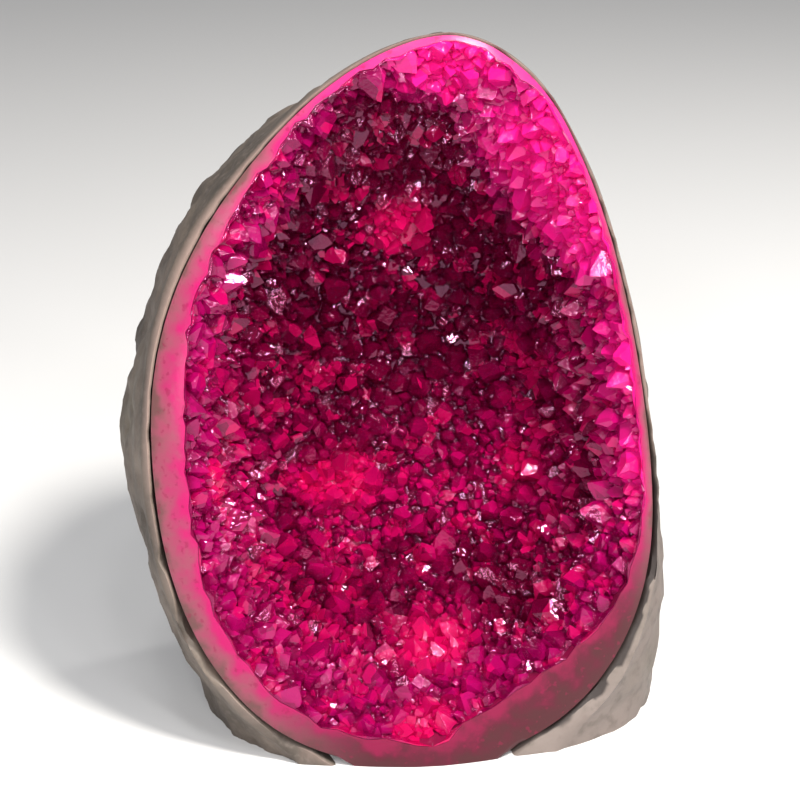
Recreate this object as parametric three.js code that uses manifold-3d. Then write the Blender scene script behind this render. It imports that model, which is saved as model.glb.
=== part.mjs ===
// A quartz geode cut flat at its base so that it stands on a shelf. A rough grey rind holds a
// bowl of pink agate, whose polished edge frames the open face, and a crust of quartz crystals
// lines the agate's hollow. Millimetres, +Z up, the open face looks towards -Y.
import * as THREE from "three";
import { mergeVertices } from "three/addons/utils/BufferGeometryUtils.js";
import Module from "manifold-3d";

const wasm = await Module();
wasm.setup();

// Driving dimensions
const FACE_LEAN = THREE.MathUtils.degToRad(12); // the face leans back from upright
const FACE_RISE = 55.2; // height of the face's centre over the base
const STONE_DEPTH = 58; // from the face's crown to the back of the rind
const HOLLOW_DEPTH = 36; // from the face's crown to the back of the agate's hollow
const HOLLOW_CENTRE = { across: 3, up: 5 }; // where the hollow is deepest, on the face
const AGATE_THICKNESS = 5; // of the agate behind the hollow
const CRUST_THICKNESS = 2.4; // of the crust under its crystals, at the back of the hollow
const CRUST_AT_RIM = [2.2, 1.6]; // the crust's width beside a narrow and a broad band of agate
const BROAD_BAND = 6; // a band of agate this wide counts as broad
const LAYER_GAP = 0.3; // between two layers of the stone
const EDGE_FALL = 3.2; // how far the polish rounds the face back at its edge
const EDGE_SHARPNESS = 8; // a higher power keeps the face flat closer to its edge
const WALL_POWER = [0.72, 1]; // at the sides and the tip: under 1 makes a bowl's wall steep
const TIP_REGION = [0.3, 1]; // how far up the face a direction points where the tip's power sets in
const STATIONS = 44; // directions round the face that the rind and the agate are lofted through
const WALL_STEPS = 6; // rings from a bowl's mouth to its deepest point
const CRUST_STATIONS = 14; // both again for the crust's inner face, which crystals cover
const CRUST_STEPS = 3;

// The face's edge, clockwise from the tip as the viewer sees it. Each row is a point across
// and up the face, the rind's bulge behind it, and the width of the polished agate inside it.
const FACE_EDGE = [
  [10.7, 55.8, -2.6, 3.4],
  [21.6, 48.0, -1.6, 1.6],
  [27.2, 38.0, -0.4, 1.2],
  [31.6, 26.0, 0.6, 1.2],
  [34.6, 13.5, 1.2, 1.2],
  [36.8, 0.0, 1.8, 1.3],
  [38.0, -12.5, 2.4, 1.6],
  [37.9, -23.0, 3.8, 2.2],
  [35.8, -33.0, 8.6, 3.6],
  [31.5, -41.8, 14.6, 6.4],
  [24.5, -49.6, 15.4, 8.6],
  [12.5, -55.6, 12.0, 8.0],
  [0.0, -56.6, 9.0, 4.0],
  [-11.5, -54.6, 8.0, 4.2],
  [-21.0, -49.8, 7.0, 4.6],
  [-28.0, -42.4, 6.2, 4.6],
  [-33.2, -33.2, 5.2, 4.8],
  [-36.6, -22.0, 4.4, 5.0],
  [-38.0, -10.0, 4.8, 5.0],
  [-38.0, 1.0, 3.0, 5.0],
  [-36.6, 10.0, 2.2, 4.2],
  [-33.4, 19.6, 2.4, 3.4],
  [-28.2, 29.2, 2.4, 3.0],
  [-21.6, 37.8, 1.8, 2.8],
  [-14.4, 45.2, 0.6, 2.4],
  [-6.5, 51.0, -1.6, 2.2],
  [2.0, 54.8, -2.4, 2.6],
];

// Lumps that stand out of the hollow's back: across, up, radius and height
const HOLLOW_LUMPS = [
  [0, 24, 9, 7],
  [-25, 24, 8, 3],
  [24, 22, 8, 4],
  [-8, -22, 10, 5],
  [8, -18, 6, 3],
  [-22, -14, 9, 3],
];

// The crust's crystals. Sizes are in millimetres and the lean is in radians.
const CRYSTAL_SPACING = 7; // between neighbours, on the crust
const FIRST_ROW = 0.07; // how far down the wall the row beside the polish grows, as a share
const CRYSTAL_RADIUS = [2.6, 5.0]; // at the root
const CRYSTAL_POINT = [1.1, 1.6]; // height of the six-sided point, in radii
const CRYSTAL_ROOT = 1.2; // how deep a crystal is set in the crust
const CRYSTAL_LEAN = 0.36; // greatest lean from the wall's own direction
const POINT_SHIFT = 0.3; // how far a point stands off its crystal's middle, in radii

// Placing on the face: across it, up it, and into the stone behind it

function onPart(across, up, depth) {
  return new THREE.Vector3(
    across,
    up * Math.sin(FACE_LEAN) + depth * Math.cos(FACE_LEAN),
    FACE_RISE + up * Math.cos(FACE_LEAN) - depth * Math.sin(FACE_LEAN),
  );
}

const { lerp } = THREE.MathUtils;
const edgeCurve = new THREE.CatmullRomCurve3(
  FACE_EDGE.map(([across, up]) => new THREE.Vector3(across, up, 0)),
  true,
);
const widthCurve = new THREE.CatmullRomCurve3(
  FACE_EDGE.map(([, , bulge, band]) => new THREE.Vector3(bulge, band, 0)),
  true,
  "catmullrom",
);

// What lies in one direction from the face's centre, at a share of the way round the face
function stationAt(share) {
  const edge = edgeCurve.getPoint(share);
  const width = widthCurve.getPoint(share);
  const reach = Math.hypot(edge.x, edge.y);
  const mouth = reach - width.y;
  const crust = lerp(...CRUST_AT_RIM, Math.min(width.y / BROAD_BAND, 1));
  return { across: edge.x / reach, up: edge.y / reach, reach, bulge: width.x, mouth, crust };
}

function alongStation(station, distance, depth) {
  return onPart(station.across * distance, station.up * distance, depth);
}

function ringOf(pointOf, count = STATIONS) {
  return Array.from({ length: count }, (_, i) => pointOf(stationAt(i / count)));
}

// Solids

// A closed skin through rings, the first and the last of which are each one point
function skinThrough(rings) {
  const count = rings[0].length;
  const profile = rings.map((_, row) => new THREE.Vector2(1, row));
  const skin = new THREE.LatheGeometry(profile, count);
  const position = skin.getAttribute("position");
  rings.forEach((ring, row) => {
    for (let turn = 0; turn <= count; turn++) {
      const point = ring[turn % count];
      position.setXYZ(turn * rings.length + row, point.x, point.y, point.z);
    }
  });
  return solidOf(skin);
}

function solidOf(geometry) {
  const bare = new THREE.BufferGeometry();
  bare.setAttribute("position", geometry.getAttribute("position"));
  bare.setIndex(geometry.index);
  const merged = mergeVertices(bare);
  return new wasm.Manifold(
    new wasm.Mesh({
      numProp: 3,
      vertProperties: merged.getAttribute("position").array,
      triVerts: new Uint32Array(merged.index.array),
    }),
  );
}

function meshOf(name, solid, color, roughness) {
  const { vertProperties, triVerts } = solid.getMesh();
  const geometry = new THREE.BufferGeometry();
  geometry.setAttribute("position", new THREE.BufferAttribute(vertProperties, 3));
  geometry.setIndex(new THREE.BufferAttribute(triVerts, 1));
  const material = new THREE.MeshStandardMaterial({
    color,
    roughness,
    metalness: 0,
    flatShading: true,
  });
  const mesh = new THREE.Mesh(geometry, material);
  mesh.name = name;
  return mesh;
}

function cutAtBase(solid) {
  const room = new THREE.BoxGeometry(300, 300, 200);
  room.translate(0, 0, 100);
  return solid.intersect(solidOf(room));
}

// Bowls: the stone's layers are nested bowls, each a body less the hollow of the next one

const WALL_FRONT = -0.5; // depth at which every bowl's wall starts, in front of the polish
const CLEAR_FRONT = -12; // depth to which a bowl reaches in front of the face

function wallPoint(station, turn, reach, back) {
  const power = lerp(...WALL_POWER, THREE.MathUtils.smoothstep(station.up, ...TIP_REGION));
  const out = Math.cos(turn) ** power;
  const across = lerp(HOLLOW_CENTRE.across, station.across * reach, out);
  const up = lerp(HOLLOW_CENTRE.up, station.up * reach, out);
  const fall = Math.sin(turn) ** power;
  return { across, up, depth: lerp(WALL_FRONT, back, fall), fall };
}

// A body that fills a bowl, from in front of the face down to the bowl's wall
function bowl(reachOf, back) {
  const front = ringOf(() => onPart(0, 0, CLEAR_FRONT));
  const mouth = ringOf((station) => alongStation(station, reachOf(station), CLEAR_FRONT));
  const wall = Array.from({ length: WALL_STEPS + 1 }, (_, i) =>
    ringOf((station) => {
      const turn = (i / WALL_STEPS) * (Math.PI / 2);
      const { across, up, depth } = wallPoint(station, turn, reachOf(station), back);
      return onPart(across, up, depth);
    }),
  );
  return skinThrough([front, mouth, ...wall]);
}

function polishDepth(share) {
  return EDGE_FALL * share ** EDGE_SHARPNESS - 0.2;
}

// Everything behind the polished face, out to just beyond its edge
function behindPolish() {
  const crown = ringOf(() => onPart(0, 0, polishDepth(0)));
  const polish = [0.75, 0.88, 0.95, 1, 1.05].map((share) =>
    ringOf((station) => alongStation(station, share * station.reach, polishDepth(share))),
  );
  const rim = ringOf((station) => alongStation(station, 1.05 * station.reach, STONE_DEPTH));
  const end = ringOf(() => onPart(0, 0, STONE_DEPTH));
  return skinThrough([crown, ...polish, rim, end]);
}

// Rind

// Height of the natural skin's lumps and dents at a point of the part
function skinLump({ x, y, z }) {
  const broad = Math.sin(0.11 * x + 0.09 * z + 0.8) * Math.sin(0.13 * y - 0.07 * z + 2.1);
  const middle = Math.sin(0.27 * x - 0.19 * z + 1.1) * Math.sin(0.31 * y + 0.23 * z + 0.4);
  const small = Math.sin(0.61 * z + 0.37 * x) * Math.sin(0.53 * y - 0.41 * x + 1.7);
  return 1.2 * broad + 0.9 * middle + 0.5 * small;
}

function makeRind() {
  const seat = LAYER_GAP + 0.2;
  const front = ringOf(() => onPart(0, 0, EDGE_FALL + 0.6));
  // how much of the bulge is reached, distance beyond that, depth, and share of the lumps
  const side = [
    [0, seat - 0.4, EDGE_FALL + 0.6, 0],
    [0, seat + 0.3, EDGE_FALL - 0.1, 0],
    [0.12, seat + 0.5, EDGE_FALL + 1, 0.2],
    [0.55, 0.7, 9.5, 0.6],
    [0.88, 0.3, 15, 0.9],
    [1, 0, 21.5, 1],
  ].map(([share, extra, depth, rough]) =>
    ringOf((station) => {
      const distance = station.reach + station.bulge * share + extra;
      const lump = rough * skinLump(alongStation(station, distance, depth));
      return alongStation(station, distance + lump, depth);
    }),
  );
  // share of the girth, and depth as a share of the stone
  const back = [
    [0.985, 0.5],
    [0.93, 0.64],
    [0.82, 0.77],
    [0.65, 0.88],
    [0.43, 0.95],
    [0.2, 0.99],
  ].map(([share, deep]) =>
    ringOf((station) => {
      const distance = (station.reach + station.bulge) * share;
      const depth = STONE_DEPTH * deep;
      const lump = skinLump(alongStation(station, distance, depth));
      return alongStation(station, distance + lump * share, depth + lump * (1 - share));
    }),
  );
  const end = ringOf(() => onPart(0, 0, STONE_DEPTH));
  const hollow = bowl(
    (station) => station.reach + LAYER_GAP,
    HOLLOW_DEPTH + AGATE_THICKNESS + LAYER_GAP,
  );
  return cutAtBase(skinThrough([front, ...side, ...back, end]).subtract(hollow));
}

// Agate

function makeAgate() {
  const body = bowl((station) => station.reach, HOLLOW_DEPTH + AGATE_THICKNESS);
  const hollow = bowl((station) => station.mouth, HOLLOW_DEPTH);
  return cutAtBase(body.intersect(behindPolish()).subtract(hollow));
}

// Crystals

// Seeded random numbers, so that every run grows the same crystals
let seed = 20260;
function random(low, high) {
  seed = (seed * 1664525 + 1013904223) % 4294967296;
  return lerp(low, high, seed / 4294967296);
}

function lumpHeight(across, up) {
  return HOLLOW_LUMPS.reduce((sum, [x, y, radius, height]) => {
    const distance = Math.hypot(across - x, up - y) / radius;
    return sum + height * Math.exp(-distance * distance);
  }, 0);
}

// The crust's inner face before any crystal grows on it, as rings from its mouth to its back
const crustRings = Array.from({ length: CRUST_STEPS + 1 }, (_, i) =>
  ringOf((station) => {
    const turn = (i / CRUST_STEPS) * (Math.PI / 2);
    const reach = station.mouth - LAYER_GAP - station.crust;
    const back = HOLLOW_DEPTH - LAYER_GAP - CRUST_THICKNESS;
    const { across, up, depth, fall } = wallPoint(station, turn, reach, back);
    return onPart(across, up, depth - lumpHeight(across, up) * fall);
  }, CRUST_STATIONS),
);

function openHollow() {
  const front = ringOf(() => onPart(0, 0, CLEAR_FRONT), CRUST_STATIONS);
  const mouth = ringOf(
    (station) => alongStation(station, station.mouth - LAYER_GAP - station.crust, CLEAR_FRONT),
    CRUST_STATIONS,
  );
  return skinThrough([front, mouth, ...crustRings]);
}

// A point of that inner face, at a share of the way round it and a share of the way down it
function crustPoint(round, down) {
  const column = round * CRUST_STATIONS;
  const left = Math.floor(column);
  const row = Math.min(down * CRUST_STEPS, CRUST_STEPS - 0.001);
  const upper = Math.floor(row);
  const [from, to] = [left, left + 1].map((i) => {
    const corner = crustRings[upper][i % CRUST_STATIONS];
    return corner.clone().lerp(crustRings[upper + 1][i % CRUST_STATIONS], row - upper);
  });
  return from.lerp(to, column - left);
}

// The direction into the hollow at that point
function crustDirection(round, down) {
  const point = crustPoint(round, down);
  const beside = crustPoint((round + 0.002) % 1, down).sub(point);
  const below = crustPoint(round, Math.min(down + 0.005, 0.999)).sub(point);
  return below.cross(beside).normalize();
}

// A six-sided crystal point that stands on a point of the crust
function crystalAt(point, direction) {
  const radius = random(...CRYSTAL_RADIUS);
  const height = radius * random(...CRYSTAL_POINT);
  const crystal = new THREE.LatheGeometry(
    [
      new THREE.Vector2(0, 0),
      new THREE.Vector2(radius, 0),
      new THREE.Vector2(0, height),
    ],
    6,
  );
  const position = crystal.getAttribute("position");
  const shiftX = random(-POINT_SHIFT, POINT_SHIFT) * radius;
  const shiftZ = random(-POINT_SHIFT, POINT_SHIFT) * radius;
  for (let i = 2; i < position.count; i += 3) position.setXYZ(i, shiftX, height, shiftZ);
  crystal.rotateY(random(0, 2 * Math.PI));
  crystal.translate(0, -CRYSTAL_ROOT, 0);
  const upright = new THREE.Vector3(0, 1, 0);
  crystal.applyQuaternion(new THREE.Quaternion().setFromUnitVectors(upright, direction));
  crystal.translate(point.x, point.y, point.z);
  return solidOf(crystal);
}

function growRow(down) {
  const around = Array.from({ length: STATIONS }, (_, i) => crustPoint(i / STATIONS, down));
  const length = around.reduce(
    (sum, point, i) => sum + point.distanceTo(around[(i + 1) % STATIONS]),
    0,
  );
  const count = Math.max(1, Math.round(length / CRYSTAL_SPACING));
  const start = random(0, 1);
  return Array.from({ length: count }, (_, i) => {
    const round = (start + (i + random(-0.25, 0.25)) / count + 1) % 1;
    const lean = new THREE.Vector3(
      random(-CRYSTAL_LEAN, CRYSTAL_LEAN),
      random(-CRYSTAL_LEAN, CRYSTAL_LEAN),
      random(-CRYSTAL_LEAN, CRYSTAL_LEAN),
    );
    return crystalAt(crustPoint(round, down), crustDirection(round, down).add(lean).normalize());
  });
}

// Rows of crystals from the crust's mouth to its back, each a spacing further down the wall
function growCrystals() {
  const crystals = [];
  const side = 0.5;
  let down = FIRST_ROW;
  while (down < 1) {
    crystals.push(...growRow(down));
    const last = crustPoint(side, down);
    while (down < 1 && crustPoint(side, down).distanceTo(last) < CRYSTAL_SPACING) down += 0.005;
  }
  return crystals;
}

// Fills the pockets sealed between crystals, and drops the crumbs that the polish cuts off
function largestBody(solid) {
  return solid.decompose().reduce((best, body) => (body.volume() > best.volume() ? body : best));
}

function makeCrust() {
  const inside = bowl((station) => station.mouth - LAYER_GAP, HOLLOW_DEPTH - LAYER_GAP);
  const room = inside.intersect(behindPolish());
  const crystals = wasm.Manifold.union(growCrystals()).intersect(room);
  return largestBody(room.subtract(openHollow()).add(crystals));
}

// Assembly, shifted so that the part's box is centred over the origin
const geode = new THREE.Group();
geode.add(
  meshOf("rind", makeRind(), "#77706a", 0.85),
  meshOf("agate_band", makeAgate(), "#c04a7e", 0.25),
  meshOf("crystal_crust", makeCrust(), "#96063f", 0.12),
);
const middle = new THREE.Box3().setFromObject(geode).getCenter(new THREE.Vector3());
geode.position.set(-middle.x, -middle.y, 0);

export default geode;
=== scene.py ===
import math
import random

import bmesh
import bpy
import numpy as np
from mathutils import Matrix, Vector, noise
from mathutils.bvhtree import BVHTree
from mathutils.kdtree import KDTree


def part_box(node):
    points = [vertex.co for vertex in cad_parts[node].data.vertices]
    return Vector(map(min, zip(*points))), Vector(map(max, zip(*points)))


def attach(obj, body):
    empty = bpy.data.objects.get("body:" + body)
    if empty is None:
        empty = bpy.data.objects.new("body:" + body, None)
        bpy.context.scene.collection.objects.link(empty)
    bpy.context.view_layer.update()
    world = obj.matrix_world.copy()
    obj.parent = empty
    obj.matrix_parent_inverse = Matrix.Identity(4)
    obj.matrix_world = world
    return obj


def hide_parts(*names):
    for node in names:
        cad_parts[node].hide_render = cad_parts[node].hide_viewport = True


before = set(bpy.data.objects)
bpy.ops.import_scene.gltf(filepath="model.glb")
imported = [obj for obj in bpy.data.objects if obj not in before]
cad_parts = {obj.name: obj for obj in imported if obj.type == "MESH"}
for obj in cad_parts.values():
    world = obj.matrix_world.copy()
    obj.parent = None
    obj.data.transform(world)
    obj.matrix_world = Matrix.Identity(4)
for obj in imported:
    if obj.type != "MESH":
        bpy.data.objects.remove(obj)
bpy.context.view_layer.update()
scene = bpy.context.scene

# Camera. The geode stands a little to the left of the viewer's line, and is looked down on from
# arm's length. The open face is the sawn and polished plane across the stone, which leans back.

face_lean = math.radians(12.0)
face_height = 0.0552
face_setback = 0.0094  # from the agate's foremost point to the face's centre
face_up = Vector((0.0, math.sin(face_lean), math.cos(face_lean)))
face_in = Vector((0.0, math.cos(face_lean), -math.sin(face_lean)))
agate_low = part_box("agate_band")[0]
face_centre = Vector((0.0, agate_low.y + face_setback, face_height))

view_azimuth = math.radians(-5.5)
view_elevation = math.radians(21.0)
view_distance = 0.331
aim_across = -0.0006
aim_up = 0.0015
towards_camera = Vector((
    math.sin(view_azimuth) * math.cos(view_elevation),
    -math.cos(view_azimuth) * math.cos(view_elevation),
    math.sin(view_elevation),
))


def on_face(across, up, depth):
    """A point of the stone, from its place across and up the open face and its depth behind it."""
    return face_centre + Vector((across, 0.0, 0.0)) + face_up * up + face_in * depth


camera = bpy.data.objects.new("camera", bpy.data.cameras.new("camera"))
scene.collection.objects.link(camera)
scene.camera = camera
camera.data.sensor_width = 36.0
camera.data.lens = 100.0
camera.location = on_face(aim_across, aim_up, 0.0) + towards_camera * view_distance
camera.rotation_euler = (-towards_camera).to_track_quat("-Z", "Y").to_euler()


# Light. One softbox stands high in front, at the right, so that the upper wall shades the top of
# the hollow and the lower half is lit. Weak ones fill in, and many small ones make the glints.

scene.view_settings.view_transform = "Standard"
scene.world = bpy.data.worlds.new("studio")
scene.world.use_nodes = True
sky = scene.world.node_tree.nodes["Background"]
sky.inputs["Color"].default_value = (0.93, 0.95, 1.0, 1.0)
sky.inputs["Strength"].default_value = 0.25


def soft_light(name, spot, size, watts, tint):
    """A round softbox that faces the open face."""
    data = bpy.data.lights.new(name, "AREA")
    data.shape = "DISK"
    data.size = size
    data.energy = watts
    data.color = tint
    light = bpy.data.objects.new(name, data)
    light.location = spot
    light.rotation_euler = (face_centre - Vector(spot)).to_track_quat("-Z", "Y").to_euler()
    scene.collection.objects.link(light)


soft_light("key_light", (0.20, -0.30, 0.56), 0.12, 6.6, (1.0, 0.96, 0.90))
soft_light("back_light", (0.26, 0.24, 0.40), 0.05, 0.45, (1.0, 0.98, 0.95))
soft_light("fill_light", (-0.16, -0.50, 0.34), 0.06, 0.9, (0.98, 0.98, 1.0))
soft_light("front_light", (0.02, -0.60, 0.10), 0.05, 0.3, (1.0, 0.98, 0.97))
sparkle_spots = [
    (-0.26, -0.40, 0.44), (0.02, -0.36, 0.56), (0.30, -0.44, 0.30), (-0.32, -0.46, 0.12),
    (0.22, -0.56, 0.12), (-0.08, -0.22, 0.62), (0.10, -0.62, 0.26), (-0.14, -0.62, 0.20),
    (0.36, -0.34, 0.46), (-0.36, -0.30, 0.34), (0.14, -0.46, 0.44), (-0.10, -0.50, 0.50),
    (0.34, -0.52, 0.20), (-0.24, -0.58, 0.30),
]
sparkle_size = 0.055
sparkle_watts = 0.30
for number, spot in enumerate(sparkle_spots):
    soft_light(f"sparkle_light_{number}", spot, sparkle_size, sparkle_watts, (1.0, 0.99, 0.98))


# The floor is a plain pale sheet, not part of the stone.

floor_half_width = 3.0
floor_mesh = bpy.data.meshes.new("floor")
floor_bm = bmesh.new()
bmesh.ops.create_grid(floor_bm, x_segments=1, y_segments=1, size=floor_half_width)
floor_bm.to_mesh(floor_mesh)
floor_bm.free()
floor = bpy.data.objects.new("floor", floor_mesh)
scene.collection.objects.link(floor)
floor_paint = bpy.data.materials.new("floor_paint")
floor_paint.use_nodes = True
floor_shader = floor_paint.node_tree.nodes["Principled BSDF"]
floor_shader.inputs["Base Color"].default_value = (0.66, 0.66, 0.66, 1.0)
floor_shader.inputs["Roughness"].default_value = 0.8
floor_mesh.materials.append(floor_paint)


# Rind. The geode's outside is its natural skin, dull grey basalt with lumps, dents and small
# pits. It ends in a thin worn lip round the polished face, and is sawn flat underneath.

turns = 288  # points round the stone
off_corners = 0.37  # keeps the rays off the corners of the plain solids
heart_across = 0.003  # the middle of the hollow, where the walls are measured from
heart_up = 0.005
heart_depth = 0.012
outer_heart_depth = 0.020
inner_front = 0.0045  # depth of the foremost ring of the rind's inner wall
inner_straight_rows = 4
outer_front = 0.0043
beyond = 0.2  # further out than any part of the stone
below_floor = -0.004  # the skins are made this far down, and then sawn off at the floor
floor_touch = 0.0002

lip_depth = 0.0031
lip_width = 0.0004
lip_fade = 0.0005  # depth over which the lip's paler wear fades out
random_wear = 0.00030
lower_wear = 0.00025
chips = [  # angle round the face, half width in degrees, and depth
    (-134.0, 3.4, 0.0016), (-127.0, 2.0, 0.0010), (-146.0, 1.6, 0.0007), (-63.0, 2.4, 0.0006),
    (-112.0, 2.0, 0.0006), (-52.0, 1.8, 0.0007), (-41.0, 2.6, 0.0005),
]
crevice_angle = -50.0  # where the band and the rind have parted, low on the right
crevice_half_width = 26.0
crevice_depth = 0.0006

lip_thinning = 0.0007  # the polish has worn the rind thin at the top and the right
thin_side = 50.0
thin_reach = (70.0, 95.0)  # degrees from there over which the thinning ends
thin_rows = (5, 18)  # rows behind the lip over which it ends
thinnest_rind = 0.0004
thinnest_rows = 10  # rows in which the rind is kept at least that thick
smooth_rows = 4  # rows over which the weathering sets in
saw_room_size = 0.4
sharp_edge = math.radians(50.0)
faces_down = -0.99


def surface_of(mesh):
    """What rays can be cast on and distances measured from, for a mesh."""
    bm = bmesh.new()
    bm.from_mesh(mesh)
    surface = BVHTree.FromBMesh(bm)
    bm.free()
    return surface


def rays_round(depth, pitch):
    """Rays all round the hollow's middle, at one depth and pitched towards the back."""
    start = on_face(heart_across, heart_up, depth)
    rays = []
    for turn in range(turns):
        angle = 2.0 * math.pi * (turn + off_corners) / turns
        aside = Vector((math.cos(angle), 0.0, 0.0)) + face_up * math.sin(angle)
        rays.append((start, aside * math.cos(pitch) + face_in * math.sin(pitch)))
    return rays


def steps(first, last, count):
    """Evenly spaced values from the first to the last."""
    return [first + (last - first) * i / count for i in range(count + 1)]


def bowl_rays(front, middle, straight_rows, curved_rows):
    """Rays to a bowl's wall, row by row: out to its sides, and then round to its back."""
    rows = [rays_round(depth, 0.0) for depth in steps(front, middle, straight_rows)]
    pitches = steps(0.0, math.pi / 2, curved_rows)[1:]
    return rows + [rays_round(middle, pitch) for pitch in pitches]


def reach_along(surface, rows, outside):
    """How far along each ray a solid's wall lies: the first wall, or the outermost one."""
    reach = np.zeros((len(rows), turns))
    for row, rays in enumerate(rows):
        for turn, (start, along) in enumerate(rays):
            if outside:
                hit = surface.ray_cast(start + along * beyond, -along)[0]
            else:
                hit = surface.ray_cast(start, along)[0]
            if hit is None or hit.z < floor_touch or (hit - start).dot(along) < 0.0:
                reach[row, turn] = (below_floor - start.z) / along.z
            else:
                reach[row, turn] = (hit - start).length
    return reach


def eased(reach, near_turns, near_rows):
    """Evens out a coarse wall: the mean over neighbouring rays, with one value at the pole."""
    shifts = range(-near_turns, near_turns + 1)
    reach = sum(np.roll(reach, shift, axis=1) for shift in shifts) / len(shifts)
    padded = np.pad(reach, ((near_rows, near_rows), (0, 0)), mode="edge")
    layers = [padded[shift:shift + len(reach)] for shift in range(2 * near_rows + 1)]
    reach = sum(layers) / len(layers)
    reach[-1] = reach[-1].mean()
    return reach


def points_at(rows, reach):
    """The points that lie so far along rows of rays."""
    return [
        [start + along * reach[row, turn] for turn, (start, along) in enumerate(rays)]
        for row, rays in enumerate(rows)
    ]


def skin_through(rings, name):
    """A closed skin through rings of points, the first and last of which are each one point."""
    bm = bmesh.new()
    count = len(rings[0])
    bmesh.ops.create_grid(bm, x_segments=count, y_segments=len(rings) - 1, size=1.0)
    bm.verts.ensure_lookup_table()
    for row, ring in enumerate(rings):
        for turn in range(count + 1):
            bm.verts[row * (count + 1) + turn].co = ring[turn % count]
    bmesh.ops.remove_doubles(bm, verts=bm.verts, dist=1e-7)
    bmesh.ops.recalc_face_normals(bm, faces=bm.faces)
    mesh = bpy.data.meshes.new(name)
    bm.to_mesh(mesh)
    bm.free()
    piece = bpy.data.objects.new(name, mesh)
    scene.collection.objects.link(piece)
    return piece


def joined_or_cut(piece, operation, others):
    """Joins a piece with others, or keeps what lies in all of them, and drops the others."""
    group = bpy.data.collections.new("others")
    scene.collection.children.link(group)
    for other in others:
        scene.collection.objects.unlink(other)
        group.objects.link(other)
    cut = piece.modifiers.new("cut", "BOOLEAN")
    cut.solver = "MANIFOLD"
    cut.operation = operation
    cut.operand_type = "COLLECTION"
    cut.collection = group
    finished = piece.evaluated_get(bpy.context.evaluated_depsgraph_get())
    mesh = bpy.data.meshes.new_from_object(finished)
    piece.modifiers.clear()
    piece.data = mesh
    mesh.materials.clear()
    for other in others:
        bpy.data.objects.remove(other)
    bpy.data.collections.remove(group)
    mesh.name = piece.name


def sawn_at_floor(piece):
    """The base is one flat saw cut, at the height of the floor."""
    bm = bmesh.new()
    middle = Matrix.Translation((0.0, 0.0, saw_room_size / 2))
    bmesh.ops.create_cube(bm, size=saw_room_size, matrix=middle)
    mesh = bpy.data.meshes.new("saw_room")
    bm.to_mesh(mesh)
    bm.free()
    room = bpy.data.objects.new("saw_room", mesh)
    scene.collection.objects.link(room)
    joined_or_cut(piece, "INTERSECT", [room])


def smoothed(piece):
    """Shades a piece smoothly, but for its sharp edges and the saw cut underneath."""
    for face in piece.data.polygons:
        face.use_smooth = face.normal.z > faces_down
    piece.data.set_sharp_from_angle(angle=sharp_edge)


def smooth_step(value, low, high):
    """Rises softly from 0 to 1 between two values."""
    share = min(max((value - low) / (high - low), 0.0), 1.0)
    return share * share * (3.0 - 2.0 * share)


def degrees_from(angle, other):
    """How far one angle round the face is from another, from -180 to 180."""
    return (angle - other + 180.0) % 360.0 - 180.0


def round_face(angle, layer):
    """Where a pattern round the face is read, for an angle and a layer under the face."""
    return Vector((math.cos(math.radians(angle)), math.sin(math.radians(angle)), layer))


def weathering(point):
    """How far the natural skin stands out at a point: lumps, knobs and grain, less its pits."""
    lumps = 0.00070 * noise.noise(point * 120.0)
    knobs = 0.00050 * noise.noise(point * 280.0 + Vector((3.0, 1.0, 7.0)))
    grain = 0.00022 * noise.noise(point * 620.0)
    nearest = noise.voronoi(point * 170.0)[0][0]
    pit = 0.00070 * smooth_step(0.36 - nearest, 0.0, 0.26)
    return lumps + knobs + grain - pit


def depth_on_face(point):
    """How far a point lies behind the plane of the face."""
    return (point - face_centre).dot(face_in)


rind_solid = surface_of(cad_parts["rind"].data)
inner_rows = bowl_rays(inner_front, heart_depth, inner_straight_rows, 16)
inner_reach = eased(reach_along(rind_solid, inner_rows, False), 5, 1)
outer_rows = bowl_rays(outer_front, outer_heart_depth, 18, 70)
outer_reach = eased(reach_along(rind_solid, outer_rows, True), 3, 1)

lip_chip = np.zeros(turns)
crevice_and_shade = np.zeros(turns)
crevice_shade_jag = np.zeros(turns)
for turn in range(turns):
    angle = 360.0 * turn / turns
    around = round_face(angle, 0.0)
    for chip_angle, half_width, depth in chips:
        share = degrees_from(angle, chip_angle) / half_width
        lip_chip[turn] += depth * math.exp(-(share ** 2))
    wear = noise.noise(around * 14.0)
    lip_chip[turn] += random_wear * max(wear, 0.0)
    lip_chip[turn] += lower_wear * smooth_step(-around.y, 0.0, 0.6)
    from_crevice = degrees_from(angle, crevice_angle) / crevice_half_width
    crevice_and_shade[turn] = math.exp(-(from_crevice ** 4))
    crevice_shade_jag[turn] = noise.noise(around * 40.0)
    lip_chip[turn] += crevice_depth * crevice_and_shade[turn] * (1.0 + 0.9 * wear)
inner_reach[0] += 0.6 * lip_chip

lip_inner = []
lip_crest = []
for turn, (start, along) in enumerate(rays_round(lip_depth, 0.0)):
    worn = lip_chip[turn]
    inner_out = inner_reach[0, turn] + 0.5 * worn
    crest_out = inner_reach[0, turn] + lip_width + 0.4 * worn
    lip_inner.append(start + along * inner_out + face_in * (0.0003 + 0.8 * worn))
    lip_crest.append(start + along * crest_out + face_in * worn)

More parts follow.
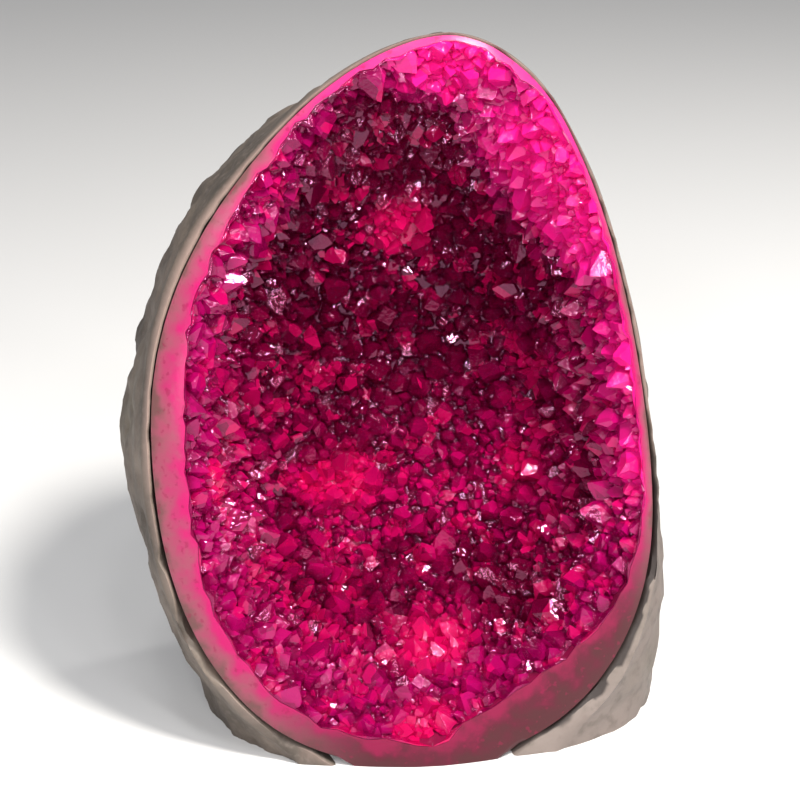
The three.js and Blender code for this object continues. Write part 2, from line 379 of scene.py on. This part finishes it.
outer_rings = points_at(outer_rows, outer_reach)
inner_depths = steps(inner_front, heart_depth, inner_straight_rows)
for row, rays in enumerate(outer_rows):
    rough = smooth_step(row, 0, smooth_rows)
    thinning = lip_thinning * (1.0 - smooth_step(row, *thin_rows))
    for turn, (start, along) in enumerate(rays):
        from_thin = abs(degrees_from(360.0 * turn / turns, thin_side))
        thin = thinning * (1.0 - smooth_step(from_thin, *thin_reach))
        reach = outer_reach[row, turn] + rough * weathering(outer_rings[row][turn]) - thin
        if row < thinnest_rows:
            inner_wall = inner_reach[:inner_straight_rows + 1, turn]
            wall = np.interp(depth_on_face(start), inner_depths, inner_wall)
            reach = max(reach, wall + thinnest_rind)
        outer_rings[row][turn] = start + along * reach
pole = outer_rings[-1][0]
outer_rings[-1] = [pole] * turns

rind_rings = points_at(inner_rows, inner_reach)[::-1] + [lip_inner, lip_crest] + outer_rings
rind = skin_through(rind_rings, "natural_rind")
sawn_at_floor(rind)
smoothed(rind)


def keep_on_points(piece, name, value_at):
    """Keeps a value on each point of a piece's mesh, worked out from the point's place."""
    kept = piece.data.attributes.new(name, "FLOAT", "POINT")
    for vertex, value in zip(piece.data.vertices, kept.data):
        value.value = value_at(vertex.co)


face_heart = on_face(heart_across, heart_up, 0.0)


def turn_and_reach(point):
    """The ray that a point lies nearest to, seen from in front, and how far out it lies."""
    offset = point - face_heart
    angle = math.atan2(offset.dot(face_up), offset.x)
    turn = int(round(angle * turns / (2.0 * math.pi) - off_corners)) % turns
    return turn, math.hypot(offset.x, offset.dot(face_up))


def lip_wear_at(point):
    """The worn lip is paler than the rind behind it."""
    return 1.0 - smooth_step(depth_on_face(point), lip_depth, lip_depth + lip_fade)


def painted_crevice_shade_at(point):
    """Painted shade in the crack between the lip and the agate, with a jagged outer edge."""
    turn, reach = turn_and_reach(point)
    foot = 0.5 * lip_chip[turn] + 0.0001
    edge = 0.4 * lip_chip[turn] + 0.0007 + 0.0006 * crevice_shade_jag[turn]
    out = smooth_step(reach - inner_reach[0, turn], foot, max(edge, foot + 0.0001))
    return crevice_and_shade[turn] * (1.0 - out)


keep_on_points(rind, "lip", lip_wear_at)
keep_on_points(rind, "crevice_and_shade", painted_crevice_shade_at)


def new_material(name):
    """A material, its node tree and its shader."""
    material = bpy.data.materials.new(name)
    material.use_nodes = True
    tree = material.node_tree
    return material, tree, tree.nodes["Principled BSDF"]


def place_on_piece(tree):
    """The place on the piece that patterns are laid on."""
    return tree.nodes.new("ShaderNodeTexCoord").outputs["Object"]


def kept_mask(tree, name):
    """A mask that is kept on the points of the mesh."""
    attribute = tree.nodes.new("ShaderNodeAttribute")
    attribute.attribute_name = name
    return attribute.outputs["Fac"]


def noise_of(tree, place, scale, detail):
    """Cloudy noise: the higher its scale, the finer it is."""
    pattern = tree.nodes.new("ShaderNodeTexNoise")
    pattern.inputs["Scale"].default_value = scale
    pattern.inputs["Detail"].default_value = detail
    tree.links.new(place, pattern.inputs["Vector"])
    return pattern.outputs["Fac"]


def ranged(tree, value, low, high, out_low=0.0, out_high=1.0):
    """Spreads part of a value's range over another range, with soft ends."""
    spread = tree.nodes.new("ShaderNodeMapRange")
    spread.interpolation_type = "SMOOTHSTEP"
    spread.inputs["From Min"].default_value = low
    spread.inputs["From Max"].default_value = high
    spread.inputs["To Min"].default_value = out_low
    spread.inputs["To Max"].default_value = out_high
    tree.links.new(value, spread.inputs["Value"])
    return spread.outputs["Result"]


def blob(tree, place, centre, inner, outer):
    """A mask that is 1 within a distance of a point and fades to 0."""
    distance = tree.nodes.new("ShaderNodeVectorMath")
    distance.operation = "DISTANCE"
    distance.inputs[1].default_value = centre
    tree.links.new(place, distance.inputs[0])
    return ranged(tree, distance.outputs["Value"], outer, inner)


def tinted(tree, under, mask, colour):
    """Lays a colour over another where a mask says."""
    mix = tree.nodes.new("ShaderNodeMix")
    mix.data_type = "RGBA"
    for socket, value in (("A", under), ("B", colour)):
        if hasattr(value, "links"):
            tree.links.new(value, mix.inputs[socket])
        else:
            mix.inputs[socket].default_value = value
    tree.links.new(mask, mix.inputs["Factor"])
    return mix.outputs["Result"]


def bumped(tree, height, strength, distance, under=None):
    """A bump from a pattern, on top of another bump where there is one."""
    bump = tree.nodes.new("ShaderNodeBump")
    bump.inputs["Strength"].default_value = strength
    bump.inputs["Distance"].default_value = distance
    tree.links.new(height, bump.inputs["Height"])
    if under is not None:
        tree.links.new(under, bump.inputs["Normal"])
    return bump.outputs["Normal"]


rind_dark = (0.048, 0.038, 0.030, 1.0)
rind_grey = (0.145, 0.113, 0.090, 1.0)
rind_pale_and_lit = (0.155, 0.124, 0.110, 1.0)
rind_olive = (0.075, 0.068, 0.044, 1.0)
rind_lip = (0.235, 0.165, 0.140, 1.0)
painted_crevice_shade = (0.020, 0.013, 0.011, 1.0)

rind_stone, tree, shader = new_material("weathered_basalt")
place = place_on_piece(tree)
patches = noise_of(tree, place, 55.0, 5.0)
stains = noise_of(tree, place, 26.0, 3.0)
grains = noise_of(tree, place, 420.0, 3.0)
specks = noise_of(tree, place, 1100.0, 3.0)
# The patch low on the right side is painted light: the side is painted paler as if lit from the
# right. The pale specks are the stone's own grain.
painted_lit_side = blob(tree, place, on_face(0.036, -0.046, 0.010), 0.014, 0.040)
colour = tinted(tree, rind_dark, ranged(tree, patches, 0.32, 0.68), rind_grey)
colour = tinted(tree, colour, painted_lit_side, rind_pale_and_lit)
colour = tinted(tree, colour, ranged(tree, stains, 0.55, 0.70, 0.0, 0.5), rind_olive)
colour = tinted(tree, colour, ranged(tree, grains, 0.45, 0.75, 0.0, 0.5), rind_dark)
colour = tinted(tree, colour, ranged(tree, specks, 0.48, 0.72, 0.0, 0.4), rind_pale_and_lit)
colour = tinted(tree, colour, kept_mask(tree, "lip"), rind_lip)
# The crack is painted near black, as painted shade in the crevice.
colour = tinted(tree, colour, ranged(tree, kept_mask(tree, "crevice_and_shade"), 0.35, 0.65), painted_crevice_shade)
tree.links.new(colour, shader.inputs["Base Color"])
tree.links.new(ranged(tree, patches, 0.3, 0.7, 0.82, 0.58), shader.inputs["Roughness"])
grain_bump = bumped(tree, grains, 0.6, 0.0003)
tree.links.new(bumped(tree, specks, 0.5, 0.0001, grain_bump), shader.inputs["Normal"])
rind.data.materials.append(rind_stone)

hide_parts("rind")
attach(rind, "root")


# Agate. The band between the rind and the crystals is dyed chalcedony, which grew as an even
# layer. Its face is polished to a gloss and rounds over to the rind.

edge_fall = 0.0032  # how far the polish rounds back at the face's edge
edge_sharpness = 8.0
polish_start = -0.0002
below_polish = 0.0033  # every wall reaches this near the front
back_front = 0.0040
mouth_rows = 4  # rows of the hollow's wall over which its ragged mouth ends
wobble_rows = (3, 14)
notch_angle = -90.0  # where a clump of crystals crosses the band at the bottom
notch_half_width = 4.2
notch_reach = 0.0024
bite_angle = 84.0  # where the crystals reach furthest towards the top edge
bite_half_width = 52.0
bite_share = 0.62
jag_reach = 0.0009
jagged_width = 0.003  # a band narrower than this has smaller jags
band_steps = 12


def polish_depth(share):
    """Depth of the polished dome at a share of the way from the hollow's middle to its edge."""
    return edge_fall * share ** edge_sharpness + polish_start


agate_solid = surface_of(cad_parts["agate_band"].data)
hollow_rows = bowl_rays(below_polish, heart_depth, 7, 24)
hollow_reach = eased(reach_along(agate_solid, hollow_rows, False), 5, 1)
edge_rows = [rays_round(below_polish, 0.0)]
edge_wall = np.repeat(reach_along(agate_solid, edge_rows, True), 2, axis=0)
edge_reach = eased(edge_wall, 4, 0)[0]
back_rows = bowl_rays(back_front, heart_depth, 5, 24)
back_reach = eased(reach_along(agate_solid, back_rows, True), 5, 1)

band_width = edge_reach - hollow_reach[0]
for row in range(len(hollow_rows)):
    fade = 1.0 - smooth_step(row, *wobble_rows)
    mouth_fade = 1.0 - smooth_step(row, 0, mouth_rows)
    shift = np.zeros(turns)
    for turn in range(0, turns, 2):
        angle = 360.0 * turn / turns
        around = round_face(angle, 0.02 * row)
        ragged = noise.noise(around * 25.0)
        jagged = jag_reach * ragged * min(band_width[turn] / jagged_width, 1.0)
        wobble = 0.0006 * noise.noise(around * 5.0) + 0.0004 * noise.noise(around * 15.0)
        from_top = degrees_from(angle, bite_angle) / bite_half_width
        bite = bite_share * band_width[turn] * math.exp(-(from_top ** 2))
        from_notch = degrees_from(angle, notch_angle) / notch_half_width
        notch = notch_reach * math.exp(-(from_notch ** 4)) * (0.8 + 1.1 * ragged)
        shift[turn] = wobble * fade + (jagged + bite + notch) * mouth_fade
    shift[1::2] = 0.5 * (shift[::2] + np.roll(shift[::2], -1))
    hollow_reach[row] += shift
mouth_reach = hollow_reach[0]


def face_ring(reach):
    """A ring of points on the polished dome."""
    ring = []
    for turn, (start, along) in enumerate(rays_round(0.0, 0.0)):
        share = reach[turn] / edge_reach[turn]
        ring.append(start + along * reach[turn] + face_in * polish_depth(share))
    return ring


band_rings = [
    face_ring(mouth_reach + (edge_reach - mouth_reach) * step / band_steps)
    for step in range(band_steps + 1)
]
agate_rings = points_at(hollow_rows, hollow_reach)[:0:-1] + band_rings
agate_rings += points_at(back_rows, back_reach)
agate = skin_through(agate_rings, "polished_agate")
sawn_at_floor(agate)
smoothed(agate)


def across_band_at(point):
    """How far across the band a point lies, from 0 at the crystals to 1 at the rind."""
    turn, reach = turn_and_reach(point)
    share = (reach - mouth_reach[turn]) / (edge_reach[turn] - mouth_reach[turn])
    return min(max(share, 0.0), 1.0)


keep_on_points(agate, "across_band", across_band_at)

band_lit = (0.46, 0.020, 0.14, 1.0)
band_hot = (0.34, 0.004, 0.085, 1.0)
band_pink = (0.28, 0.020, 0.082, 1.0)
band_milky = (0.215, 0.050, 0.078, 1.0)
band_grey = (0.11, 0.048, 0.048, 1.0)
band_magenta = (0.17, 0.004, 0.036, 1.0)
band_mauve = (0.075, 0.006, 0.018, 1.0)
band_brown = (0.056, 0.012, 0.016, 1.0)
cloudiness = 1.6  # how much the clouds shift the colours across the band

agate_gloss, tree, shader = new_material("polished_agate")
place = place_on_piece(tree)
clouds = noise_of(tree, place, 300.0, 6.0)
specks = noise_of(tree, place, 900.0, 2.0)
clouded = tree.nodes.new("ShaderNodeMath")
clouded.operation = "MULTIPLY_ADD"
clouded.inputs[1].default_value = cloudiness
tree.links.new(clouds, clouded.inputs[0])
tree.links.new(kept_mask(tree, "across_band"), clouded.inputs[2])
across = clouded.outputs["Value"]
colour = tinted(tree, band_hot, ranged(tree, across, 0.78, 1.20), band_pink)
colour = tinted(tree, colour, ranged(tree, across, 1.00, 1.60), band_milky)
colour = tinted(tree, colour, ranged(tree, across, 1.45, 1.90), band_grey)
low_right = blob(tree, place, on_face(0.022, -0.060, 0.0), 0.026, 0.052)
low_colour = tinted(tree, band_magenta, ranged(tree, across, 0.70, 1.25), band_mauve)
low_colour = tinted(tree, low_colour, ranged(tree, across, 1.10, 1.60), band_brown)
colour = tinted(tree, colour, low_right, low_colour)
# The top of the band is painted brighter, as painted light where the rim catches the light.
painted_lit_top = blob(tree, place, on_face(0.012, 0.050, 0.0), 0.016, 0.038)
colour = tinted(tree, colour, painted_lit_top, band_lit)
colour = tinted(tree, colour, ranged(tree, specks, 0.60, 0.70, 0.0, 0.5), band_magenta)
tree.links.new(colour, shader.inputs["Base Color"])
tree.links.new(bumped(tree, specks, 0.12, 0.0002), shader.inputs["Normal"])
shader.inputs["Roughness"].default_value = 0.28
shader.inputs["Specular IOR Level"].default_value = 0.22
shader.inputs["Subsurface Weight"].default_value = 0.12
shader.inputs["Subsurface Radius"].default_value = (1.0, 0.35, 0.6)
shader.inputs["Subsurface Scale"].default_value = 0.0015
agate.data.materials.append(agate_gloss)

# The wall of the agate's hollow lies under the crystals and was never polished.
agate_wall, tree, shader = new_material("raw_agate")
shader.inputs["Base Color"].default_value = (0.95, 0.42, 0.66, 1.0)
shader.inputs["Roughness"].default_value = 0.6
agate.data.materials.append(agate_wall)
heart = on_face(heart_across, heart_up, heart_depth)
for face in agate.data.polygons:
    facing_in = face.normal.dot(heart - face.center) > 0.0
    deep = depth_on_face(face.center) > below_polish
    face.material_index = 1 if facing_in and deep else 0

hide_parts("agate_band")
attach(agate, "root")


# Crystals. Quartz points grow side by side on a thin crust over the agate, all sizes mixed, and
# their faces are flat: the stub of a prism under three large and three small end faces.

dice = random.Random(41)
layer_gap = 0.00008
crust_margin = 0.001  # how far the uncut crust reaches into the agate
crust_at_mouth = 0.0001
crust_below = 0.0010  # how far the crust lies under the plain solid's surface
before_face = -0.004
large_crystals = (0.0014, 0.0026)  # least and greatest radius
small_crystals = (0.0008, 0.0013)
tiny_crystals = (0.0004, 0.0007)
shape_count = 12
end_slope = math.radians(51.8)  # between the crystal's axis and the normal of an end face
size_skew = 1.6  # a higher power makes more of the crystals small
neighbour_room = 0.006  # how far round a new crystal its neighbours are looked for
layer_room = 0.009
layer_spacing = 1.75  # share of two radii within which crystals go in different layers
lean_spread = 0.24
stretch = (0.95, 1.35)
root_height = 0.0002
tip_height = 0.0017

crust_solid = surface_of(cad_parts["crystal_crust"].data)
crust_hit = eased(eased(reach_along(crust_solid, hollow_rows, False), 10, 3), 10, 3)
crust_reach = np.minimum(crust_hit + crust_below, hollow_reach - crust_at_mouth - layer_gap)
for row in range(mouth_rows):
    share = smooth_step(row, 0, mouth_rows)
    at_mouth = hollow_reach[row] - crust_at_mouth
    crust_reach[row] = at_mouth + (crust_reach[row] - at_mouth) * share
for row, rays in enumerate(hollow_rows[:-1]):
    for turn, (start, along) in enumerate(rays):
        rough = noise.noise((start + along * crust_reach[row, turn]) * 500.0)
        deep = row >= mouth_rows
        crust_reach[row, turn] += 0.0004 * rough if deep else -0.0012 * max(rough, 0.0)
crust_reach[-1] = crust_reach[-1].mean()


def ring_before_face(reach):
    """A ring of points in front of the face, where the polish has cut the crystals away."""
    rays = rays_round(before_face, 0.0)
    return [start + along * reach[turn] for turn, (start, along) in enumerate(rays)]


def thinned(rings):
    """Every other point of each ring."""
    return [ring[::2] for ring in rings]


room_reach = hollow_reach - layer_gap
cap_rings = [face_ring(room_reach[0] * share) for share in steps(1.0, 0.0, 8)]
room_rings = points_at(hollow_rows, room_reach)[:0:-1] + cap_rings
crystal_room = skin_through(thinned(room_rings), "crystal_room")

wide_reach = hollow_reach + crust_margin
crust_walls = points_at(hollow_rows, crust_reach)
crust_rings = points_at(hollow_rows, wide_reach)[::-1]
crust_rings += [ring_before_face(wide_reach[0]), ring_before_face(crust_reach[0])]
crust_rings += crust_walls
crystals = skin_through(thinned(crust_rings), "crystal_druse")


def quartz_point(large, small, lean_x, lean_y):
    """One crystal of radius 1 along +Z, rooted one radius under the origin."""
    bm = bmesh.new()
    bmesh.ops.create_cone(
        bm, segments=6, radius1=1.0, radius2=1.0, depth=4.0, cap_ends=True,
        matrix=Matrix.Translation((0.0, 0.0, 1.0)),
    )
    for side in range(6):
        aside = math.radians(60.0 * side + 30.0)
        height = small if side % 2 else large
        normal = Vector((
            math.cos(aside) * math.sin(end_slope),
            math.sin(aside) * math.sin(end_slope),
            math.cos(end_slope),
        ))
        start = Vector((lean_x, lean_y, height * dice.uniform(0.86, 1.14)))
        cut = bmesh.ops.bisect_plane(
            bm, geom=bm.verts[:] + bm.edges[:] + bm.faces[:],
            plane_co=start, plane_no=normal, clear_outer=True,
        )
        rim = [edge for edge in cut["geom_cut"] if isinstance(edge, bmesh.types.BMEdge)]
        if rim:
            bmesh.ops.contextual_create(bm, geom=rim)
    mesh = bpy.data.meshes.new("quartz_point")
    bm.to_mesh(mesh)
    bm.free()
    return mesh


quartz_points = [
    quartz_point(
        dice.uniform(1.0, 1.4), dice.uniform(1.2, 1.7),
        dice.uniform(-0.25, 0.25), dice.uniform(-0.25, 0.25),
    )
    for _ in range(shape_count)
]

cells = []
areas = []
for row in range(len(crust_walls) - 1):
    for turn in range(turns):
        corner = crust_walls[row][turn]
        beside = crust_walls[row][(turn + 1) % turns] - corner
        below = crust_walls[row + 1][turn] - corner
        cross = beside.cross(below)
        inward = cross.normalized()
        if inward.dot(hollow_rows[row][turn][1]) > 0.0:
            inward.negate()
        cells.append((corner, beside, below, inward))
        areas.append(cross.length)

grown = []


def tree_of_grown(room):
    """A search tree of the places of the crystals so far, with room for more."""
    places = KDTree(len(grown) + room)
    for index, (point, _, _) in enumerate(grown):
        places.insert(point, index)
    places.balance()
    return places


def grow(tries, sizes, spacing):
    """Plants crystals on the crust, each clear of its neighbours by a share of their sizes."""
    places = tree_of_grown(tries)
    fresh = {}
    for corner, beside, below, inward in dice.choices(cells, weights=areas, k=tries):
        point = corner + beside * dice.random() + below * dice.random()
        radius = sizes[0] + (sizes[1] - sizes[0]) * dice.random() ** size_skew
        near = [grown[index] for _, index, _ in places.find_range(point, neighbour_room)]
        home = tuple(int(value // neighbour_room) for value in point)
        for x in (-1, 0, 1):
            for y in (-1, 0, 1):
                for z in (-1, 0, 1):
                    near += fresh.get((home[0] + x, home[1] + y, home[2] + z), [])
        if all((point - other).length > spacing * (radius + size) for other, _, size in near):
            crystal = (point, inward, radius)
            fresh.setdefault(home, []).append(crystal)
            grown.append(crystal)


grow(6000, large_crystals, 0.74)
grow(9000, small_crystals, 0.50)
grow(4000, tiny_crystals, 0.50)

# Crystals that stand close together go in different layers, and then the layers are joined.
places = tree_of_grown(0)
layer_of = {}
layers = []
for index, (point, inward, radius) in enumerate(grown):
    taken = set()
    for _, other, distance in places.find_range(point, layer_room):
        if other in layer_of and distance < layer_spacing * (radius + grown[other][2]):
            taken.add(layer_of[other])
    layer = 0
    while layer in taken:
        layer += 1
    layer_of[index] = layer
    if layer == len(layers):
        layers.append(bmesh.new())
    lean = Vector([dice.gauss(0.0, lean_spread) for _ in range(3)])
    direction = (inward + lean).normalized().to_track_quat("Z", "Y").to_matrix().to_4x4()
    spin = Matrix.Rotation(dice.uniform(0.0, 2.0 * math.pi), 4, "Z")
    size = Matrix.Diagonal((radius, radius, radius * dice.uniform(*stretch), 1.0))
    bm = layers[layer]
    count = len(bm.verts)
    bm.from_mesh(dice.choice(quartz_points))
    bm.verts.ensure_lookup_table()
    planted = Matrix.Translation(point) @ direction @ spin @ size
    bmesh.ops.transform(bm, matrix=planted, verts=bm.verts[count:])

layer_pieces = []
for bm in layers:
    mesh = bpy.data.meshes.new("crystal_layer")
    bm.to_mesh(mesh)
    bm.free()
    layer_piece = bpy.data.objects.new("crystal_layer", mesh)
    scene.collection.objects.link(layer_piece)
    layer_pieces.append(layer_piece)


def without_crumbs(piece):
    """Keeps a piece's one large body, without the crumbs that a cut leaves beside it."""
    bm = bmesh.new()
    bm.from_mesh(piece.data)
    seen = set()
    bodies = []
    for first in bm.verts:
        if first not in seen:
            seen.add(first)
            body = [first]
            for vertex in body:
                for edge in vertex.link_edges:
                    other = edge.other_vert(vertex)
                    if other not in seen:
                        seen.add(other)
                        body.append(other)
            bodies.append(body)
    bodies.sort(key=len)
    for body in bodies[:-1]:
        bmesh.ops.delete(bm, geom=body, context="VERTS")
    bm.to_mesh(piece.data)
    bm.free()


crust_surface = surface_of(crystals.data)
joined_or_cut(crystals, "UNION", layer_pieces)
joined_or_cut(crystals, "INTERSECT", [crystal_room])
without_crumbs(crystals)


def growth_at(point):
    """How far a point stands off the crust, from 0 at the crystals' roots to 1 at their tips."""
    return smooth_step(crust_surface.find_nearest(point)[3], root_height, tip_height)


keep_on_points(crystals, "growth", growth_at)

quartz_ruby = (0.46, 0.0015, 0.10, 1.0)
quartz_deep = (0.20, 0.0008, 0.045, 1.0)
quartz_dark = (0.11, 0.0005, 0.020, 1.0)
painted_root_shade = (0.04, 0.0, 0.008, 1.0)
painted_rim_glow = (0.46, 0.002, 0.13, 1.0)
painted_hot_glow = (0.95, 0.012, 0.28, 1.0)
painted_glow = (0.72, 0.003, 0.115, 1.0)

# Each patch is a place across, up and behind the face, and the distances from it at which the
# patch is full and gone. The shaded rims are painted shade; the glowing rims and lit lumps are
# painted glow, as where light shines through the crystals.
shaded_rims = [
    (0.000, 0.038, 0.010, 0.009, 0.019),
    (0.022, -0.034, 0.014, 0.003, 0.016),
]
painted_glow_rims = [
    (0.023, 0.032, 0.004, 0.011, 0.019),
    (0.008, 0.052, 0.000, 0.006, 0.012),
    (0.034, 0.006, 0.000, 0.003, 0.012),
    (0.034, -0.010, 0.000, 0.003, 0.010),
]
painted_lit_lumps = [
    (0.003, 0.025, 0.022, 0.0024, 0.008),
    (-0.028, -0.012, 0.010, 0.0018, 0.006),
    (-0.007, -0.016, 0.030, 0.0021, 0.007),
    (0.005, -0.040, 0.015, 0.0027, 0.009),
    (0.020, -0.014, 0.025, 0.0018, 0.006),
    (-0.013, -0.016, 0.028, 0.0015, 0.005),
    (-0.029, 0.028, 0.006, 0.0021, 0.007),
    (0.0025, -0.050, 0.002, 0.0021, 0.007),
]

quartz, tree, shader = new_material("pink_quartz")
place = place_on_piece(tree)
depth_of = tree.nodes.new("ShaderNodeVectorMath")
depth_of.operation = "DOT_PRODUCT"
depth_of.inputs[1].default_value = face_in
tree.links.new(place, depth_of.inputs[0])
face_offset = face_centre.dot(face_in)
# Crystals near the face get the brighter rim colours, painted glow where light comes through the
# rim, and deeper ones darker colours, painted shade down in the hollow.
deep = ranged(tree, depth_of.outputs["Value"], face_offset + 0.003, face_offset + 0.016)
crystal_cells = tree.nodes.new("ShaderNodeTexVoronoi")
crystal_cells.inputs["Scale"].default_value = 420.0
tree.links.new(place, crystal_cells.inputs["Vector"])
cell_place = crystal_cells.outputs["Position"]  # the same all over a cell as large as a crystal
# Random cells are painted darker or glowing, as painted shade and painted glow on single crystals.
painted_dim_cells = ranged(tree, crystal_cells.outputs["Color"], 0.48, 0.30, 0.0, 0.6)
painted_lit_cells = ranged(tree, crystal_cells.outputs["Color"], 0.66, 0.80, 0.0, 0.5)
clouds = noise_of(tree, place, 70.0, 3.0)
# Near their roots the crystals are painted darker, as painted shade in the gaps between them.
root_shade_mask = ranged(tree, kept_mask(tree, "growth"), 0.60, 0.0, 0.0, 0.70)
inner_shade = blob(tree, cell_place, on_face(-0.002, 0.022, 0.030), 0.020, 0.042)
colour = tinted(tree, quartz_ruby, inner_shade, quartz_dark)
colour = tinted(tree, colour, ranged(tree, clouds, 0.52, 0.40, 0.0, 0.7), quartz_dark)
colour = tinted(tree, colour, painted_dim_cells, quartz_dark)
colour = tinted(tree, colour, root_shade_mask, painted_root_shade)
# The rim colour is a painted glow, with painted shade at the roots and on dim cells.
painted_lit_rim = tinted(tree, painted_rim_glow, root_shade_mask, quartz_deep)
painted_lit_rim = tinted(tree, painted_lit_rim, painted_dim_cells, quartz_deep)
colour = tinted(tree, painted_lit_rim, deep, colour)
for spots, tint in ((shaded_rims, quartz_dark), (painted_glow_rims, painted_hot_glow), (painted_lit_lumps, painted_glow)):
    for across, up, depth, inner, outer in spots:
        patch = blob(tree, cell_place, on_face(across, up, depth), inner, outer)
        colour = tinted(tree, colour, patch, tint)
colour = tinted(tree, colour, painted_lit_cells, painted_glow)
tree.links.new(colour, shader.inputs["Base Color"])
facets = noise_of(tree, place, 1500.0, 2.0)
tree.links.new(bumped(tree, facets, 0.8, 0.00010), shader.inputs["Normal"])
shader.inputs["Roughness"].default_value = 0.03
shader.inputs["Specular Tint"].default_value = (1.0, 0.50, 0.82, 1.0)
shader.inputs["IOR"].default_value = 1.54
shader.inputs["Transmission Weight"].default_value = 0.5
inner_tint = tree.nodes.new("ShaderNodeVolumeAbsorption")
inner_tint.inputs["Color"].default_value = (0.95, 0.10, 0.66, 1.0)
inner_tint.inputs["Density"].default_value = 260.0
tree.links.new(inner_tint.outputs["Volume"], tree.nodes["Material Output"].inputs["Volume"])
crystals.data.materials.append(quartz)

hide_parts("crystal_crust")
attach(crystals, "root")
